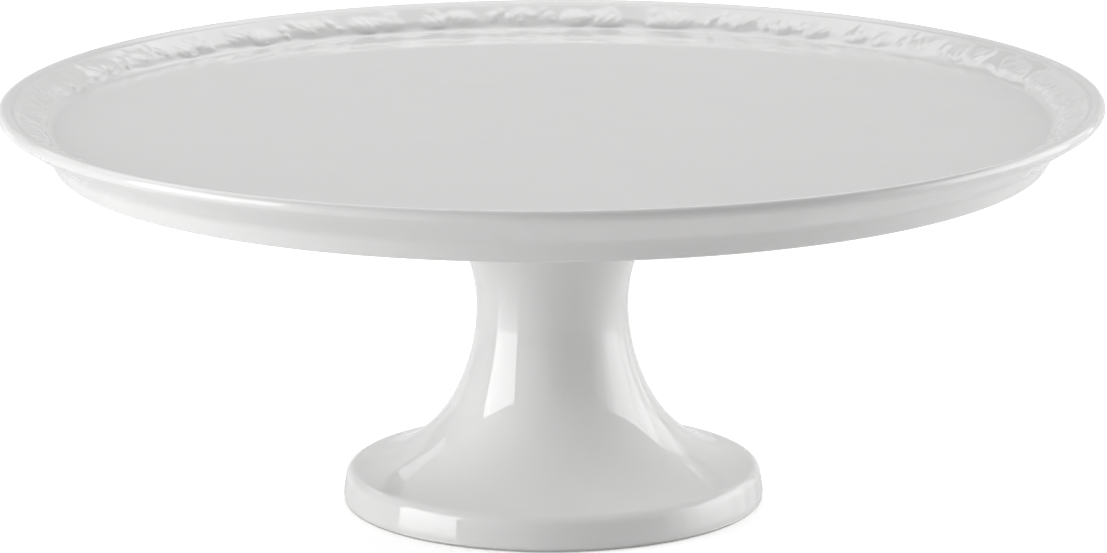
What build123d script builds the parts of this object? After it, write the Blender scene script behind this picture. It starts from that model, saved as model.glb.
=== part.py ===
from build123d import *
import os
from math import cos, radians, sin, tan

# A footed cake stand in glazed porcelain: a shallow plate with a flared rim, luted on to a hollow,
# waisted pedestal that is open underneath. All lengths are millimetres. The origin is the centre of
# the base ring on the table, and +Z runs up the axis of revolution.

# Overall
stand_height = 124.5
rim_radius = 165.0

# Plate: rim
lip_radius = 1.95            # the rounded edge of the rim
rim_slope = 29.4             # degrees, upper side of the rim above the horizontal
rim_under_slope = 33.2       # degrees, underside of the rim above the horizontal
rim_under_inner_radius = 151.8   # where the rim's underside turns down into the well's wall
rim_under_blend = 9.0

# Plate: well
well_depth = 7.45
well_cove = 4.0              # radius between the floor and the rim's slope
well_wall_slope = 61.0       # degrees, outside of the well's wall above the horizontal
well_wall_foot_depth = 17.9  # below the rim's top
verge_width = 3.5            # flat bottom of the ring that stiffens the plate's edge
verge_inner_step = 2.3
verge_edge_round = 1.1
underside_edge_height = 6.0  # below the floor, just inside the verge ring
seat_depth = 8.2             # below the floor, at the flat seat for the pedestal
seat_radius = 46.0

# Pedestal
waist_radius = 22.9
waist_height = 60.5
pedestal_wall = 5.0
upper_flare_radius = 45.0
upper_flare_turn = 25.0      # degrees, then straight up to the collar
stem_flare_radius = 59.4
stem_flare_turn = 27.7
base_flare_radius = 42.4
base_flare_turn = 52.0
base_flare_turn_inside = 47.0
base_radius = 63.8
base_shoulder_height = 10.2
base_shoulder_inset = 0.9
base_shoulder_round = 3.2
base_foot_inset = 0.7
base_foot_round = 1.3
foot_ring_width = 6.0

# Luting ring: the band of clay and glaze that bonds the two
luting_height = 2.5
luting_fillet = 3.0

floor_height = stand_height - well_depth
seat_height = floor_height - seat_depth
collar_height = seat_height - luting_height


def corner(sketch, radius, height):
    """The section's vertex nearest to a radius and a height."""
    return sketch.vertices().sort_by_distance((radius, height))[0]


def collar_radius(inset):
    """Radius of the pedestal's outline at the collar, moved inwards by inset."""
    bend = upper_flare_radius + inset
    straight = collar_height - waist_height - bend * sin(radians(upper_flare_turn))
    across = bend * (1 - cos(radians(upper_flare_turn)))
    return waist_radius - inset + across + straight * tan(radians(upper_flare_turn))


def pedestal_side(inset, base_turn):
    """The waisted outline from collar to base flare, moved inwards by inset. Returns its lowest end."""
    waist = (waist_radius - inset, waist_height)
    upper = JernArc(waist, (0, 1), upper_flare_radius + inset, -upper_flare_turn)
    Line(upper @ 1, (collar_radius(inset), collar_height))
    stem = JernArc(waist, (0, -1), stem_flare_radius + inset, stem_flare_turn)
    base = JernArc(stem @ 1, stem % 1, base_flare_radius + inset, base_turn)
    return base @ 1


# Plate. The half section runs from the axis out over the floor and the rim, round the lip and back.
lip_centre_radius = rim_radius - lip_radius
lip_centre_height = stand_height - lip_radius
lip_top = (
    lip_centre_radius - lip_radius * sin(radians(rim_slope)),
    lip_centre_height + lip_radius * cos(radians(rim_slope)),
)
lip_outside = (rim_radius, lip_centre_height)
lip_under = (
    lip_centre_radius + lip_radius * sin(radians(rim_under_slope)),
    lip_centre_height - lip_radius * cos(radians(rim_under_slope)),
)
floor_edge = (
    lip_top[0] - (lip_top[1] - floor_height) / tan(radians(rim_slope)),
    floor_height,
)
rim_root = (
    rim_under_inner_radius,
    lip_under[1] - (lip_under[0] - rim_under_inner_radius) * tan(radians(rim_under_slope)),
)
wall_foot_height = stand_height - well_wall_foot_depth
wall_foot = (
    rim_root[0] - (rim_root[1] - wall_foot_height) / tan(radians(well_wall_slope)),
    wall_foot_height,
)
verge_inside = (wall_foot[0] - verge_width, wall_foot_height)
underside_edge = (verge_inside[0] - verge_inner_step, floor_height - underside_edge_height)
seat_edge = (seat_radius, seat_height)

with BuildPart() as plate:
    with BuildSketch(Plane.XZ) as plate_section:
        with BuildLine():
            Polyline((0, seat_height), (0, floor_height), floor_edge, lip_top)
            ThreePointArc(lip_top, lip_outside, lip_under)
            Polyline(lip_under, rim_root, wall_foot, verge_inside, underside_edge)
            Polyline(underside_edge, seat_edge, (0, seat_height))
        make_face()
        fillet(corner(plate_section, *floor_edge), radius=well_cove)
        fillet(corner(plate_section, *rim_root), radius=rim_under_blend)
        fillet(corner(plate_section, *wall_foot), radius=verge_edge_round)
        fillet(corner(plate_section, *verge_inside), radius=verge_edge_round)
        fillet(corner(plate_section, *underside_edge), radius=verge_edge_round)
    revolve(axis=Axis.Z)

# Pedestal. One thin wall follows the waist from the collar to the base, where it turns down into a
# short upright band that ends in the foot ring.
base_shoulder = (base_radius - base_shoulder_inset, base_shoulder_height)
base_band_foot = (base_radius, base_foot_round + base_foot_inset)
base_foot = (base_radius - base_foot_inset, 0)
foot_ring_inside = (base_foot[0] - foot_ring_width, 0)

with BuildPart() as pedestal:
    with BuildSketch(Plane.XZ) as pedestal_section:
        with BuildLine():
            outer_end = pedestal_side(0, base_flare_turn)
            inner_end = pedestal_side(pedestal_wall, base_flare_turn_inside)
            Polyline(outer_end, base_shoulder, base_band_foot, base_foot, foot_ring_inside, inner_end)
            Line((collar_radius(pedestal_wall), collar_height), (collar_radius(0), collar_height))
        make_face()
        fillet(corner(pedestal_section, *base_shoulder), radius=base_shoulder_round)
        fillet(corner(pedestal_section, *base_foot), radius=base_foot_round)
        fillet(corner(pedestal_section, *foot_ring_inside), radius=base_foot_round)
    revolve(axis=Axis.Z)

# Luting ring. It fills the joint between the collar and the plate's seat, and its outside is a
# hollow fillet that spreads on to the plate.
luting_inner_radius = collar_radius(pedestal_wall)
luting_outer_radius = collar_radius(0)
luting_outside_foot = (luting_outer_radius, collar_height)
luting_outside_top = (luting_outer_radius + luting_fillet, seat_height)
luting_hollow = (
    luting_outer_radius + luting_fillet * (1 - cos(radians(45))),
    collar_height + luting_height * sin(radians(45)),
)

with BuildPart() as luting_ring:
    with BuildSketch(Plane.XZ) as luting_section:
        with BuildLine():
            ThreePointArc(luting_outside_foot, luting_hollow, luting_outside_top)
            Line(luting_outside_top, (luting_inner_radius, seat_height))
            Line((luting_inner_radius, seat_height), (luting_inner_radius, collar_height))
            Line((luting_inner_radius, collar_height), luting_outside_foot)
        make_face()
    revolve(axis=Axis.Z)

os.makedirs("parts", exist_ok=True)
plate.part.label = "plate"
export_step(plate.part, "parts/plate.step")
pedestal.part.label = "pedestal"
export_step(pedestal.part, "parts/pedestal.step")
luting_ring.part.label = "luting_ring"
export_step(luting_ring.part, "parts/luting_ring.step")
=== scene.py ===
from math import cos, pi, radians, sin, tan

import bpy
import numpy as np
from mathutils import Matrix, Vector


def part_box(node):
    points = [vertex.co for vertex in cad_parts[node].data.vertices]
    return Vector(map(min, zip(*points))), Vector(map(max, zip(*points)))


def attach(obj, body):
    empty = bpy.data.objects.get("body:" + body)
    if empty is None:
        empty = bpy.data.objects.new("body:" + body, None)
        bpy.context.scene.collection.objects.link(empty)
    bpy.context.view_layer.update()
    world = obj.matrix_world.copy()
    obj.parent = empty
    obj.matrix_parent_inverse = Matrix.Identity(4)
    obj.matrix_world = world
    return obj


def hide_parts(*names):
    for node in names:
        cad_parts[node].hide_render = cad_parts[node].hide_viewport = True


# A footed cake stand in glazed porcelain. The plate, the pedestal and the luting ring between them
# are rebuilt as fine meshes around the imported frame. Lengths are metres, +Z is up.

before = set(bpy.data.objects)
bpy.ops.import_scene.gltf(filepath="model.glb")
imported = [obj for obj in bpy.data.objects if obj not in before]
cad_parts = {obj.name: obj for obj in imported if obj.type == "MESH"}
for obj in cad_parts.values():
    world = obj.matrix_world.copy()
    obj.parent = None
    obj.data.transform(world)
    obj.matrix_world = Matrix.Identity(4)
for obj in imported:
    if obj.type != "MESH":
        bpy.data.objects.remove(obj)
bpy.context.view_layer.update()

MM = 0.001
plate_low, plate_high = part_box("plate")
pedestal_low, pedestal_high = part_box("pedestal")
luting_low, luting_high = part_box("luting_ring")

# Sizes read from the frame
rim_radius = plate_high.x
stand_height = plate_high.z
wall_foot_height = plate_low.z
seat_height = luting_high.z
collar_height = pedestal_high.z
base_radius = pedestal_high.x
luting_outer_radius = luting_high.x

# Plate
lip_radius = 1.95 * MM
rim_slope = radians(29.4)
rim_under_slope = radians(33.2)
rim_root_radius = 151.8 * MM
well_depth = 7.45 * MM
well_wall_slope = radians(61.0)
well_cove = 4.0 * MM
rim_root_blend = 9.0 * MM
verge_width = 3.5 * MM
verge_step = 2.3 * MM
verge_round = 1.1 * MM
underside_drop = 6.0 * MM
seat_radius = 46.0 * MM

# Pedestal
waist_radius = 22.9 * MM
waist_height = 60.5 * MM
pedestal_wall = 5.0 * MM
upper_flare_radius = 45.0 * MM
upper_flare_turn = radians(25.0)
stem_flare_radius = 59.4 * MM
stem_flare_turn = radians(27.7)
base_flare_radius = 42.4 * MM
base_flare_turn = radians(52.0)
base_flare_turn_inside = radians(47.0)
base_shoulder_height = 10.2 * MM
base_shoulder_inset = 1.3 * MM
base_shoulder_round = 3.2 * MM
band_foot_height = 2.0 * MM
band_foot_round = 6.0 * MM
foot_inset = 0.7 * MM
foot_round = 1.3 * MM
foot_ring_width = 6.0 * MM
bare_height = 0.45 * MM

# Relief on the rim: a garland of leaves that hang from the lip towards the well
relief_seed = 41
relief_columns = 2048
relief_rows = 32
relief_margin_low = 0.6 * MM
relief_margin_high = 1.2 * MM
relief_fade_low = 0.8 * MM
relief_fade_high = 1.0 * MM
relief_softness = 0.50 * MM
# The darker colour in the relief's hollows, pooled glaze's tint with painted shade: the blur that gives
# the broad swell, and the hollow depth that takes the full colour
pool_shade_softness = 1.1 * MM
pool_shade_full_depth = 0.5 * MM
garland_repeats = 27
ground_height = 0.40 * MM
ground_edge_softness = 2.4 * MM

# Studio
lamp_distance = 2.0
aim_height = 0.06
table_gap = 0.5 * MM

floor_height = stand_height - well_depth


# ---------------------------------------------------------------- outlines

def rounded(points, radii, steps):
    """A polyline of (radius, height) whose inner corners are rounded by arcs of the given radii."""
    out = [np.array(points[0], float)]
    for before, here, after, radius, count in zip(points, points[1:], points[2:], radii, steps):
        here = np.array(here, float)
        back = np.array(before, float) - here
        ahead = np.array(after, float) - here
        back /= np.linalg.norm(back)
        ahead /= np.linalg.norm(ahead)
        half = np.arccos(np.clip(back @ ahead, -1, 1)) / 2
        if radius <= 0:
            out.append(here)
            continue
        reach = radius / tan(half)
        middle = (back + ahead) / np.linalg.norm(back + ahead)
        centre = here + middle * radius / sin(half)
        start = here + back * reach - centre
        end = here + ahead * reach - centre
        turn = np.arctan2(start[0] * end[1] - start[1] * end[0], start @ end)
        for step in range(count + 1):
            angle = turn * step / count
            spun = (start[0] * cos(angle) - start[1] * sin(angle),
                    start[0] * sin(angle) + start[1] * cos(angle))
            out.append(centre + np.array(spun))
    out.append(np.array(points[-1], float))
    return out


def arc(centre, radius, first, last, count):
    """Points on a circle from one angle to another, both ends included."""
    angles = np.linspace(first, last, count + 1)
    return [np.array((centre[0] + radius * cos(a), centre[1] + radius * sin(a))) for a in angles]


def divided(start, end, count):
    """Points that divide a straight run, without its start."""
    start = np.array(start, float)
    end = np.array(end, float)
    return [start + (end - start) * step / count for step in range(1, count + 1)]


# ---------------------------------------------------------------- meshes of revolution

def join_rings(faces, first, second):
    """Faces between two rings of vertex numbers, with the same count, or one count double the other's."""
    m, n = len(first), len(second)
    if m == 1:
        faces += [(first[0], second[i], second[(i + 1) % n]) for i in range(n)]
    elif n == 1:
        faces += [(first[i], second[0], first[(i + 1) % m]) for i in range(m)]
    elif m == n:
        faces += [(first[i], second[i], second[(i + 1) % n], first[(i + 1) % n]) for i in range(n)]
    elif m == 2 * n:
        for i in range(n):
            a, b, c = first[2 * i], first[2 * i + 1], first[(2 * i + 2) % m]
            d, e = second[i], second[(i + 1) % n]
            faces += [(a, d, b), (b, d, e), (b, e, c)]
    elif n == 2 * m:
        for i in range(m):
            a, b, c = second[2 * i], second[2 * i + 1], second[(2 * i + 2) % n]
            d, e = first[i], first[(i + 1) % m]
            faces += [(d, a, b), (d, b, e), (e, b, c)]
    else:
        raise ValueError(f"rings of {m} and {n} vertices don't join")


def revolved(name, outline, counts, closed, lifts=None, pool_shades=None):
    """A mesh of revolution. Each outline point makes a ring of counts[i] vertices. The two optional lists
    give each ring's displacement along the outline's normal and its share of the darker colour: pooled
    glaze's tint with painted shade in the hollows."""
    places, faces, rings, pool_shade = [], [], [], []
    total = len(outline)
    for i, (point, count) in enumerate(zip(outline, counts)):
        angles = np.arange(count) * 2 * pi / count
        before = outline[(i - 1) % total] if closed or i > 0 else outline[i]
        after = outline[(i + 1) % total] if closed or i < total - 1 else outline[i]
        along = after - before
        along = along / max(np.linalg.norm(along), 1e-12)
        normal = np.array((-along[1], along[0]))
        lift = lifts[i] if lifts is not None and lifts[i] is not None else np.zeros(count)
        # The ring's share of the darker colour: pooled glaze's tint with painted shade in the hollows
        pool_shade_here = pool_shades[i] if pool_shades is not None and pool_shades[i] is not None else np.zeros(count)
        if count == 1:
            ring = np.array([[0.0, 0.0, point[1]]])
        else:
            r = point[0] + normal[0] * lift
            z = point[1] + normal[1] * lift
            ring = np.stack([r * np.cos(angles), r * np.sin(angles), z + 0 * angles], 1)
        rings.append(range(len(places), len(places) + count))
        places.extend(map(tuple, ring))
        pool_shade.extend(pool_shade_here)
    pairs = list(zip(rings, rings[1:]))
    if closed:
        pairs.append((rings[-1], rings[0]))
    for first, second in pairs:
        join_rings(faces, list(first), list(second))
    mesh = bpy.data.meshes.new(name)
    mesh.from_pydata(places, [], faces)
    mesh.validate()
    # Stores each vertex's share of pooled glaze's tint and painted shade for the material
    attribute = mesh.attributes.new("pooled_glaze_and_shade", "FLOAT", "POINT")
    attribute.data.foreach_set("value", np.array(pool_shade, np.float32))
    mesh.polygons.foreach_set("use_smooth", [True] * len(mesh.polygons))
    piece = bpy.data.objects.new(name, mesh)
    bpy.context.scene.collection.objects.link(piece)
    return piece


# ---------------------------------------------------------------- relief

def smooth_step(x):
    x = np.clip(x, 0, 1)
    return x * x * (3 - 2 * x)


class Relief:
    """A height field on the rim's slope. u runs round the rim and v runs from the well to the lip."""

    def __init__(self, columns, rows, around, across):
        self.columns = columns
        self.around = around
        self.u = np.arange(columns) * around / columns
        self.v = np.linspace(0, across, rows)
        self.across = across
        self.height = np.zeros((rows, columns))

    def window(self, u, reach):
        """Column numbers within reach of u, and the offset of each from u."""
        step = self.around / self.columns
        middle = int(round(u / step))
        span = int(reach / step) + 2
        numbers = np.arange(middle - span, middle + span + 1)
        return numbers % self.columns, numbers * step - u

    def lay(self, columns, height):
        """Lays a form over what is there; where two forms meet, the higher one covers the other."""
        self.height[:, columns] = np.maximum(self.height[:, columns], height)

    def leaf(self, u, v, angle, length, half_width, height, lobes, curl):
        """A leaf from its stalk at (u, v). It thickens towards a full, lobed tip. angle is from straight
        down to the well, turning to +u, and curl bends the blade sideways towards its tip."""
        columns, du = self.window(u, length + half_width)
        across, down = np.meshgrid(du, v - self.v)
        along = across * sin(angle) + down * cos(angle)
        side = across * cos(angle) - down * sin(angle)
        t = along / length
        side = side - curl * length * t * np.abs(t)
        inside = (t > 0) & (t < 1)
        tc = np.clip(t, 0, 1)
        flank = 0.68 + 0.32 * smooth_step(tc / 0.6)
        tip = np.sqrt(np.clip(1 - (np.clip(tc - 0.62, 0, 1) / 0.38) ** 2, 0, 1))
        lobed = 1 - 0.14 * np.abs(np.sin(pi * lobes * (tc - 0.12 * np.abs(side) / half_width)))
        width = np.maximum(half_width * flank * tip * lobed, 1e-6)
        s = np.abs(side) / width
        cushion = np.clip(1 - s ** 2.2, 0, 1) ** 0.6
        swell = 0.10 + 0.90 * smooth_step(tc / 0.85)
        veins = 0.5 + 0.5 * np.cos(2 * pi * side / (0.30 * half_width + 0.9 * MM))
        dome = cushion * swell * tip ** 0.5 * (1 - 0.18 * veins)
        dome = np.where(inside & (s < 1), dome, 0)
        self.lay(columns, dome * height)

    def berry(self, u, v, radius, height):
        columns, du = self.window(u, radius)
        across, up = np.meshgrid(du, self.v - v)
        d = np.sqrt(across ** 2 + up ** 2) / radius
        ball = np.sqrt(np.clip(1 - d ** 2, 0, 1))
        dimple = 0.35 * np.exp(-(d / 0.28) ** 2)
        self.lay(columns, height * np.clip(ball - dimple, 0, None))

    def soften(self, width):
        """Blurs the forms as a layer of glaze does."""
        step_u = self.around / self.columns
        frequency = np.fft.rfftfreq(self.columns, step_u)
        gain = np.exp(-2 * (pi * frequency * width) ** 2)
        blurred = np.fft.irfft(np.fft.rfft(self.height, axis=1) * gain, self.columns, axis=1)
        step_v = self.v[1] - self.v[0]
        gap = (self.v[:, None] - self.v[None, :]) / width
        kernel = np.exp(-0.5 * gap ** 2)
        kernel /= np.exp(-0.5 * (np.arange(-40, 41) * step_v / width) ** 2).sum()
        return kernel @ blurred


def garland(relief, seed):
    """Full leaves that hang from the lip, with small leaves between them and berries at their feet,
    repeated round the rim with small differences."""
    random = np.random.default_rng(seed)
    pitch = relief.around / garland_repeats
    top = relief.across
    # Each leaf: place along the rim, drop below the lip, lean, length, half width and height in mm,
    # then its number of lobes and its curl. Every second group is mirrored.
    leaves = (
        (-13.5, 0.0, 0.46, 12.7, 6.6, 1.30, 1.6, 0.12),
        (1.5, 0.0, -0.26, 11.9, 6.3, 1.24, 1.6, -0.12),
        (11.0, 0.0, 0.52, 12.1, 5.1, 1.10, 2.2, 0.14),
        (-16.5, 0.0, 0.95, 9.4, 2.5, 0.90, 2.0, -0.24),
        (-6.0, 0.0, -0.85, 8.6, 2.4, 0.82, 2.0, 0.26),
        (8.5, -0.5, 0.80, 8.2, 2.3, 0.82, 2.0, -0.20),
        (-8.5, 2.8, 0.55, 7.0, 2.9, 1.00, 1.6, 0.20),
        (6.0, 2.5, 0.70, 6.8, 2.6, 0.95, 1.6, -0.18),
        (16.0, 3.0, -0.50, 6.7, 2.8, 1.00, 1.6, 0.16),
    )
    # Each berry: place along the rim and height above the well's edge, in mm
    berries = ((-5.0, 3.2), (-2.8, 2.6), (8.0, 2.8), (18.0, 2.6))
    for number in range(garland_repeats):
        hand = 1 if number % 2 == 0 else -1
        u0 = (number + 0.5) * pitch + random.uniform(-1.2, 1.2) * MM
        for shift, drop, angle, length, half_width, height, lobes, curl in leaves:
            relief.leaf(
                u0 + hand * (shift + random.uniform(-1.2, 1.2)) * MM,
                top - drop * MM,
                hand * angle + random.uniform(-0.16, 0.16),
                length * random.uniform(0.90, 1.06) * MM,
                half_width * random.uniform(0.86, 1.12) * MM,
                height * random.uniform(0.82, 1.1) * MM,
                lobes,
                hand * curl + random.uniform(-0.08, 0.08),
            )
        for shift, v in berries:
            relief.berry(
                u0 + hand * (shift + random.uniform(-0.6, 0.6)) * MM,
                (v + random.uniform(-0.3, 0.6)) * MM,
                random.uniform(0.9, 1.3) * MM,
                random.uniform(0.95, 1.10) * MM,
            )
    # The ground that the leaves lie on stands a little above the slope, with a wavering lower edge
    turn = relief.u / relief.around * 2 * pi
    edge = (1.7 + 0.5 * np.sin(turn * 41 + 1.0) + 0.4 * np.sin(turn * 67 + 2.0)) * MM
    past_edge = relief.v[:, None] - edge[None, :] + ground_edge_softness / 2
    ground = smooth_step(past_edge / ground_edge_softness)
    relief.height = np.maximum(relief.height, ground_height * ground)


# ---------------------------------------------------------------- pieces

def plate_piece():
    """The dish, from the middle of its floor out over the rim, round the lip and back underneath."""
    lip_centre = np.array((rim_radius - lip_radius, stand_height - lip_radius))
    lip_top = lip_centre + lip_radius * np.array((-sin(rim_slope), cos(rim_slope)))
    lip_under = lip_centre + lip_radius * np.array((sin(rim_under_slope), -cos(rim_under_slope)))
    floor_edge = np.array((lip_top[0] - (lip_top[1] - floor_height) / tan(rim_slope), floor_height))
    rim_root = np.array((
        rim_root_radius, lip_under[1] - (lip_under[0] - rim_root_radius) * tan(rim_under_slope)))
    wall_foot = np.array((
        rim_root[0] - (rim_root[1] - wall_foot_height) / tan(well_wall_slope), wall_foot_height))
    verge_inside = np.array((wall_foot[0] - verge_width, wall_foot_height))
    underside_edge = np.array((verge_inside[0] - verge_step, floor_height - underside_drop))

    outline, counts = [], []

    def ring(point, count):
        outline.append(np.array(point, float))
        counts.append(count)

    # Floor, from the centre to the cove
    for radius, count in ((0, 1), (3, 16), (6, 32), (12, 64), (24, 128), (45, 256), (75, 256),
                          (105, 256), (128, 512), (141, 1024)):
        ring((radius * MM, floor_height), count)
    floor_point = (floor_edge[0] - 2 * well_cove, floor_height)
    cove = rounded([floor_point, floor_edge, lip_top], [well_cove], [5])[1:-1]
    for point in cove:
        ring(point, relief_columns)
    # The slope that carries the relief
    slope_start = cove[-1]
    slope_length = np.linalg.norm(lip_top - slope_start)
    slope = (lip_top - slope_start) / slope_length
    first = slope_start + slope * relief_margin_low
    last = lip_top - slope * relief_margin_high
    band = np.linalg.norm(last - first)
    middle_radius = (first[0] + last[0]) / 2
    relief = Relief(relief_columns, relief_rows, 2 * pi * middle_radius, band)
    garland(relief, relief_seed)
    height = relief.soften(relief_softness)
    fade = smooth_step(relief.v / relief_fade_low) * smooth_step((band - relief.v) / relief_fade_high)
    height = height * fade[:, None]
    # Pooled glaze's tint with painted shade: darker where the surface lies lower than the broad swell of
    # the forms around it
    wide = relief.soften(pool_shade_softness)
    pool_shade = np.clip((wide - height) / pool_shade_full_depth, 0, 1)
    lifts = [None] * len(outline)
    pool_shades = [None] * len(outline)
    for row in range(relief_rows):
        ring(first + slope * relief.v[row], relief_columns)
        lifts.append(height[row])
        pool_shades.append(pool_shade[row])
    # Lip, round the outside and under
    lip = arc(lip_centre, lip_radius, pi / 2 + rim_slope, rim_under_slope - pi / 2, 12)
    for step, point in enumerate(lip):
        ring(point, 1024 if step < 1 else 512)
    under = rounded(
        [lip_under, rim_root, wall_foot, verge_inside, underside_edge, (seat_radius, seat_height)],
        [rim_root_blend, verge_round, verge_round, verge_round], [8, 5, 5, 5])[1:-1]
    for point in divided(lip_under, under[0], 3)[:-1] + under:
        ring(point, 256)
    for radius in (120, 95, 70):
        share = (radius * MM - under[-1][0]) / (seat_radius - under[-1][0])
        ring((radius * MM, under[-1][1] + share * (seat_height - under[-1][1])), 256)
    # The flat seat for the pedestal
    for radius, count in ((46, 256), (30, 128), (18, 64), (9, 32), (4, 16), (0, 1)):
        ring((radius * MM, seat_height), count)
    lifts += [None] * (len(outline) - len(lifts))
    pool_shades += [None] * (len(outline) - len(pool_shades))
    return revolved("porcelain_plate", outline, counts, False, lifts, pool_shades)


def pedestal_side(inset, base_turn):
    """The waisted outline from the collar to the base flare, moved inwards by inset."""
    bend = upper_flare_radius + inset
    top_angle = upper_flare_turn
    centre = (waist_radius - inset + bend, waist_height)
    upper = arc(centre, bend, pi - top_angle, pi, 14)
    collar = upper[0] + np.array((tan(top_angle), 1)) * (collar_height - upper[0][1])
    points = [collar] + divided(collar, upper[0], 5)[:-1] + upper
    stem_bend = stem_flare_radius + inset
    centre = np.array((waist_radius - inset + stem_bend, waist_height))
    stem = arc(centre, stem_bend, pi, pi + stem_flare_turn, 16)
    points += stem[1:]
    base_bend = base_flare_radius + inset
    outward = (centre - stem[-1]) / stem_bend
    centre = stem[-1] + outward * base_bend
    points += arc(centre, base_bend, pi + stem_flare_turn, pi + stem_flare_turn + base_turn, 24)[1:]
    return points


def pedestal_piece():
    """The hollow stem and base in one, open underneath."""
    outer = pedestal_side(0, base_flare_turn)
    inner = pedestal_side(pedestal_wall, base_flare_turn_inside)
    shoulder = (base_radius - base_shoulder_inset, base_shoulder_height)
    band_foot = (base_radius, band_foot_height)
    foot = (base_radius - foot_inset, 0)
    ring_inside = (foot[0] - foot_ring_width, 0)
    base = rounded([outer[-1], shoulder, band_foot, foot, ring_inside, inner[-1]],
                   [base_shoulder_round, band_foot_round, foot_round, foot_round], [10, 3, 6, 6])[1:-1]
    outline = outer + base + inner[::-1]
    return revolved("porcelain_pedestal", outline, [384] * len(outline), True)


def luting_piece():
    """The band of slip and glaze between the collar and the plate, with a hollow fillet outside."""
    inner_radius = pedestal_side(pedestal_wall, base_flare_turn_inside)[0][0]
    outer_radius = pedestal_side(0, base_flare_turn)[0][0]
    spread = luting_outer_radius - outer_radius
    rise = seat_height - collar_height
    fillet = [
        np.array((outer_radius + spread * (1 - cos(a)), collar_height + rise * sin(a)))
        for a in np.linspace(0, pi / 2, 9)
    ]
    outline = fillet + [
        np.array(((outer_radius + inner_radius) / 2, seat_height)),
        np.array((inner_radius, seat_height)),
        np.array((inner_radius, collar_height)),
        np.array(((outer_radius + inner_radius) / 2, collar_height)),
    ]
    return revolved("luting_ring_glazed", outline[::-1], [256] * len(outline), True)


# ---------------------------------------------------------------- materials

def node(tree, kind, **values):
    made = tree.nodes.new(kind)
    for name, value in values.items():
        if hasattr(made, name):
            setattr(made, name, value)
        else:
            made.inputs[name.replace("_", " ")].default_value = value
    return made


def glaze(name, colour, pool_shade_colour):
    """Clear gloss glaze over white porcelain, darker and a little bluer in the relief's hollows: the tint
    of pooled glaze with painted shade.
    """
    material = bpy.data.materials.new(name)
    material.use_nodes = True
    tree = material.node_tree
    tree.nodes.clear()
    link = tree.links.new
    out = node(tree, "ShaderNodeOutputMaterial")
    skin = node(tree, "ShaderNodeBsdfPrincipled")
    skin.inputs["IOR"].default_value = 1.52
    skin.inputs["Subsurface Weight"].default_value = 0.10
    skin.inputs["Subsurface Radius"].default_value = (1.0, 0.9, 0.8)
    skin.inputs["Subsurface Scale"].default_value = 0.0015
    place = node(tree, "ShaderNodeTexCoord")
    # Body colour drifts a little over the piece
    drift = node(tree, "ShaderNodeTexNoise")
    drift.inputs["Scale"].default_value = 14.0
    drift.inputs["Detail"].default_value = 3.0
    link(place.outputs["Object"], drift.inputs["Vector"])
    tone = node(tree, "ShaderNodeValToRGB")
    tone.color_ramp.elements[0].position = 0.35
    tone.color_ramp.elements[0].color = (*[c * 0.985 for c in colour], 1)
    tone.color_ramp.elements[1].position = 0.68
    tone.color_ramp.elements[1].color = (*colour, 1)
    link(drift.outputs["Fac"], tone.inputs["Fac"])
    # Pooled glaze's tint with painted shade, darker in the relief's hollows
    pool_shade_node = node(tree, "ShaderNodeAttribute", attribute_name="pooled_glaze_and_shade")
    pool_shade_mix = node(tree, "ShaderNodeMix", data_type="RGBA")
    link(pool_shade_node.outputs["Fac"], pool_shade_mix.inputs[0])
    link(tone.outputs["Color"], pool_shade_mix.inputs[6])
    pool_shade_mix.inputs[7].default_value = (*pool_shade_colour, 1)
    # A few pale specks and pinholes under the glaze
    speck = node(tree, "ShaderNodeTexVoronoi")
    speck.inputs["Scale"].default_value = 180.0
    link(place.outputs["Object"], speck.inputs["Vector"])
    speck_size = node(tree, "ShaderNodeMapRange")
    speck_size.inputs["From Min"].default_value = 0.035
    speck_size.inputs["From Max"].default_value = 0.055
    speck_size.inputs["To Min"].default_value = 0.10
    speck_size.inputs["To Max"].default_value = 0.0
    link(speck.outputs["Distance"], speck_size.inputs["Value"])
    speck_mix = node(tree, "ShaderNodeMix", data_type="RGBA")
    link(speck_size.outputs["Result"], speck_mix.inputs[0])
    link(pool_shade_mix.outputs[2], speck_mix.inputs[6])
    speck_mix.inputs[7].default_value = (0.45, 0.43, 0.40, 1)
    link(speck_mix.outputs[2], skin.inputs["Base Color"])
    # Gloss varies very slightly
    rub = node(tree, "ShaderNodeTexNoise")
    rub.inputs["Scale"].default_value = 60.0
    link(place.outputs["Object"], rub.inputs["Vector"])
    gloss = node(tree, "ShaderNodeMapRange")
    gloss.inputs["To Min"].default_value = 0.025
    gloss.inputs["To Max"].default_value = 0.055
    link(rub.outputs["Fac"], gloss.inputs["Value"])
    link(gloss.outputs["Result"], skin.inputs["Roughness"])
    # The glaze's own surface: broad, shallow waves and a fine orange peel
    wave = node(tree, "ShaderNodeTexNoise")
    wave.inputs["Scale"].default_value = 45.0
    wave.inputs["Detail"].default_value = 1.0
    link(place.outputs["Object"], wave.inputs["Vector"])
    wave_bump = node(tree, "ShaderNodeBump")
    wave_bump.inputs["Strength"].default_value = 0.20
    wave_bump.inputs["Distance"].default_value = 0.0003
    link(wave.outputs["Fac"], wave_bump.inputs["Height"])
    peel = node(tree, "ShaderNodeTexNoise")
    peel.inputs["Scale"].default_value = 420.0
    peel.inputs["Detail"].default_value = 2.0
    link(place.outputs["Object"], peel.inputs["Vector"])
    peel_bump = node(tree, "ShaderNodeBump")
    peel_bump.inputs["Strength"].default_value = 0.12
    peel_bump.inputs["Distance"].default_value = 0.00005
    link(peel.outputs["Fac"], peel_bump.inputs["Height"])
    link(wave_bump.outputs["Normal"], peel_bump.inputs["Normal"])
    link(peel_bump.outputs["Normal"], skin.inputs["Normal"])
    link(skin.outputs["BSDF"], out.inputs["Surface"])
    return material


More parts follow.
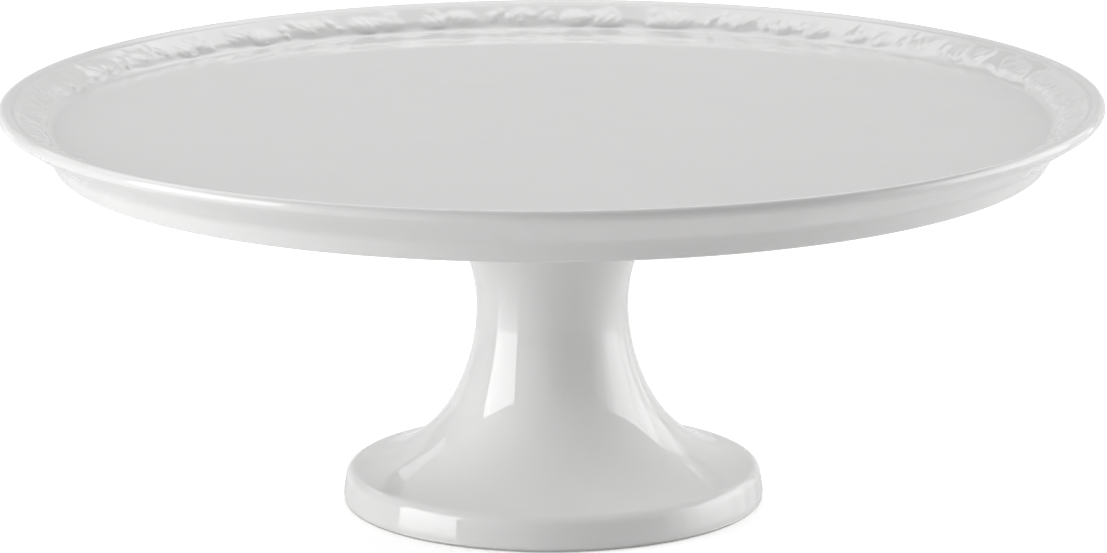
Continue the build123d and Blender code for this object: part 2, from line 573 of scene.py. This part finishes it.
def bisque(name):
    """Bare fired porcelain, where the glaze is wiped off the foot ring."""
    material = bpy.data.materials.new(name)
    material.use_nodes = True
    tree = material.node_tree
    tree.nodes.clear()
    link = tree.links.new
    out = node(tree, "ShaderNodeOutputMaterial")
    skin = node(tree, "ShaderNodeBsdfPrincipled")
    skin.inputs["Roughness"].default_value = 0.75
    place = node(tree, "ShaderNodeTexCoord")
    grain = node(tree, "ShaderNodeTexNoise")
    grain.inputs["Scale"].default_value = 700.0
    grain.inputs["Detail"].default_value = 6.0
    link(place.outputs["Object"], grain.inputs["Vector"])
    tone = node(tree, "ShaderNodeValToRGB")
    tone.color_ramp.elements[0].position = 0.3
    tone.color_ramp.elements[0].color = (0.55, 0.53, 0.49, 1)
    tone.color_ramp.elements[1].position = 0.7
    tone.color_ramp.elements[1].color = (0.76, 0.74, 0.70, 1)
    link(grain.outputs["Fac"], tone.inputs["Fac"])
    link(tone.outputs["Color"], skin.inputs["Base Color"])
    bump = node(tree, "ShaderNodeBump")
    bump.inputs["Strength"].default_value = 0.5
    bump.inputs["Distance"].default_value = 0.0001
    link(grain.outputs["Fac"], bump.inputs["Height"])
    link(bump.outputs["Normal"], skin.inputs["Normal"])
    link(skin.outputs["BSDF"], out.inputs["Surface"])
    return material


def wear_foot_ring(piece, bare):
    """Gives the faces that touch the table the bare material."""
    piece.data.materials.append(bare)
    for face in piece.data.polygons:
        if face.center.z < bare_height:
            face.material_index = 1


# ---------------------------------------------------------------- stage, lights and camera

def paper(name, grey, roughness, gloss, glow):
    """A plain grey or white surface that may glow a little."""
    material = bpy.data.materials.new(name)
    material.use_nodes = True
    skin = material.node_tree.nodes["Principled BSDF"]
    skin.inputs["Base Color"].default_value = (grey, grey, grey, 1)
    skin.inputs["Roughness"].default_value = roughness
    skin.inputs["Specular IOR Level"].default_value = gloss
    skin.inputs["Emission Color"].default_value = (1, 1, 1, 1)
    skin.inputs["Emission Strength"].default_value = glow
    return material


def sheet(name, left, right, front, back, height):
    """A level rectangle that faces up."""
    mesh = bpy.data.meshes.new(name)
    places = [(left, front, height), (right, front, height), (right, back, height), (left, back, height)]
    mesh.from_pydata(places, [], [(0, 1, 2, 3)])
    made = bpy.data.objects.new(name, mesh)
    bpy.context.scene.collection.objects.link(made)
    return made


def seen_from_above_only(material):
    """Makes the back of a sheet clear, so that the stand can be looked at from below."""
    tree = material.node_tree
    skin = tree.nodes["Principled BSDF"]
    side = node(tree, "ShaderNodeNewGeometry")
    clear = node(tree, "ShaderNodeBsdfTransparent")
    mix = node(tree, "ShaderNodeMixShader")
    tree.links.new(side.outputs["Backfacing"], mix.inputs[0])
    tree.links.new(skin.outputs["BSDF"], mix.inputs[1])
    tree.links.new(clear.outputs["BSDF"], mix.inputs[2])
    tree.links.new(mix.outputs["Shader"], tree.nodes["Material Output"].inputs["Surface"])


def table():
    """A small glossy table, which only light sees, brightens the stand from below. The camera sees a
    wide white floor in its place, a hair above it."""
    small = sheet("small_table", -0.5, 0.5, -0.5, 0.5, -table_gap)
    small.data.materials.append(paper("table_acrylic", 0.85, 0.08, 0.5, 0.05))
    small.visible_camera = False
    wide = sheet("white_floor", -8, 8, -8, 8, 0)
    white_paper = paper("white_paper", 0.8, 0.9, 0.1, 0.45)
    wide.data.materials.append(white_paper)
    seen_from_above_only(white_paper)
    wide.visible_diffuse = False
    wide.visible_glossy = False
    wide.visible_shadow = False


def lamp_point(bearing, elevation):
    """A point at the lamps' distance from the stand. The angles are in radians."""
    level = cos(elevation)
    toward = Vector((level * sin(bearing), -level * cos(bearing), sin(elevation)))
    return Vector((0, 0, aim_height)) + lamp_distance * toward


def softbox(name, bearing, low, high, width, radiance):
    """A soft panel. bearing is in degrees from the viewer's side, towards +X; low and high are the
    elevations of its edges, seen from the stand."""
    bearing = radians(bearing)
    bottom = lamp_point(bearing, radians(low))
    top = lamp_point(bearing, radians(high))
    centre = (bottom + top) / 2
    height = (top - bottom).length
    lamp = bpy.data.lights.new(name, "AREA")
    lamp.shape = "RECTANGLE"
    lamp.size = width
    lamp.size_y = height
    lamp.energy = radiance * pi * width * height
    holder = bpy.data.objects.new(name, lamp)
    up = (top - bottom).normalized()
    right = Vector((cos(bearing), sin(bearing), 0))
    back = right.cross(up).normalized()
    holder.matrix_world = Matrix.Translation(centre) @ Matrix((right, up, back)).transposed().to_4x4()
    holder.visible_camera = False
    bpy.context.scene.collection.objects.link(holder)


def studio():
    """Softboxes round the stand. Where they overlap they add up, which gives a box a graded edge."""
    # The large box on the left makes the sharp highlight down the stem
    softbox("left_softbox", -72, -13, 31, 1.28, 4.8)
    # The box on the right is brightest in its middle
    softbox("right_softbox_core", 97, -10, 34, 0.90, 1.30)
    softbox("right_softbox", 101, -10, 35, 1.82, 1.30)
    softbox("right_softbox_halo", 103, -10, 35, 3.16, 0.94)
    softbox("right_rear_softbox", 132, 12, 40, 1.17, 0.70)
    softbox("front_left_fill", -29, 0, 40, 1.44, 0.58)
    # The lit backdrop and the boxes above it light the plate from behind
    softbox("backdrop_light", 180, -12, 9, 3.36, 0.52)
    softbox("rear_softbox", 180, 9, 25, 2.21, 0.45)
    softbox("rear_right_softbox", 170, 25, 42, 1.21, 0.46)
    softbox("rear_left_softbox", 214, 25, 37, 0.85, 0.98)
    softbox("overhead_softbox_core", 200, 46, 64, 2.10, 0.75)
    softbox("overhead_softbox", 200, 42, 68, 2.75, 0.80)
    softbox("overhead_softbox_halo", 200, 38, 72, 3.40, 0.70)
    softbox("top_softbox", 0, 68, 112, 1.60, 0.30)
    world = bpy.data.worlds.new("studio")
    bpy.context.scene.world = world
    world.use_nodes = True
    world.node_tree.nodes["Background"].inputs["Color"].default_value = (1, 1, 1, 1)
    world.node_tree.nodes["Background"].inputs["Strength"].default_value = 0.15


def viewpoint():
    """The view: a long lens from the front, looking 12.9 degrees down."""
    sensor = 36.0
    focal_length = 176.57
    sideways_shift = 0.0011
    pitch = radians(12.93)
    roll = radians(-0.30)
    place = Vector((0, -1.5956, 0.4350))
    camera = bpy.data.cameras.new("viewpoint")
    camera.sensor_width = sensor
    camera.lens = focal_length
    camera.shift_x = sideways_shift
    camera.clip_start = 0.05
    camera.clip_end = 50
    holder = bpy.data.objects.new("viewpoint", camera)
    holder.matrix_world = (
        Matrix.Translation(place)
        @ Matrix.Rotation(radians(90) - pitch, 4, "X")
        @ Matrix.Rotation(roll, 4, "Z")
    )
    bpy.context.scene.collection.objects.link(holder)
    bpy.context.scene.camera = holder


# ---------------------------------------------------------------- making

white = (0.80, 0.80, 0.795)
# Colour of the relief's hollows: pooled glaze's tint with painted shade, darker than the body
pooled_glaze_shade = (0.70, 0.71, 0.71)

plate = plate_piece()
plate.data.materials.append(glaze("plate_glaze", white, pooled_glaze_shade))
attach(plate, "root")
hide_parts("plate")

pedestal = pedestal_piece()
pedestal.data.materials.append(glaze("pedestal_glaze", white, pooled_glaze_shade))
wear_foot_ring(pedestal, bisque("bare_porcelain"))
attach(pedestal, "root")
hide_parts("pedestal")

luting = luting_piece()
luting.data.materials.append(glaze("luting_glaze", white, pooled_glaze_shade))
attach(luting, "root")
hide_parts("luting_ring")

table()
studio()
viewpoint()
bpy.context.scene.view_settings.view_transform = "Standard"
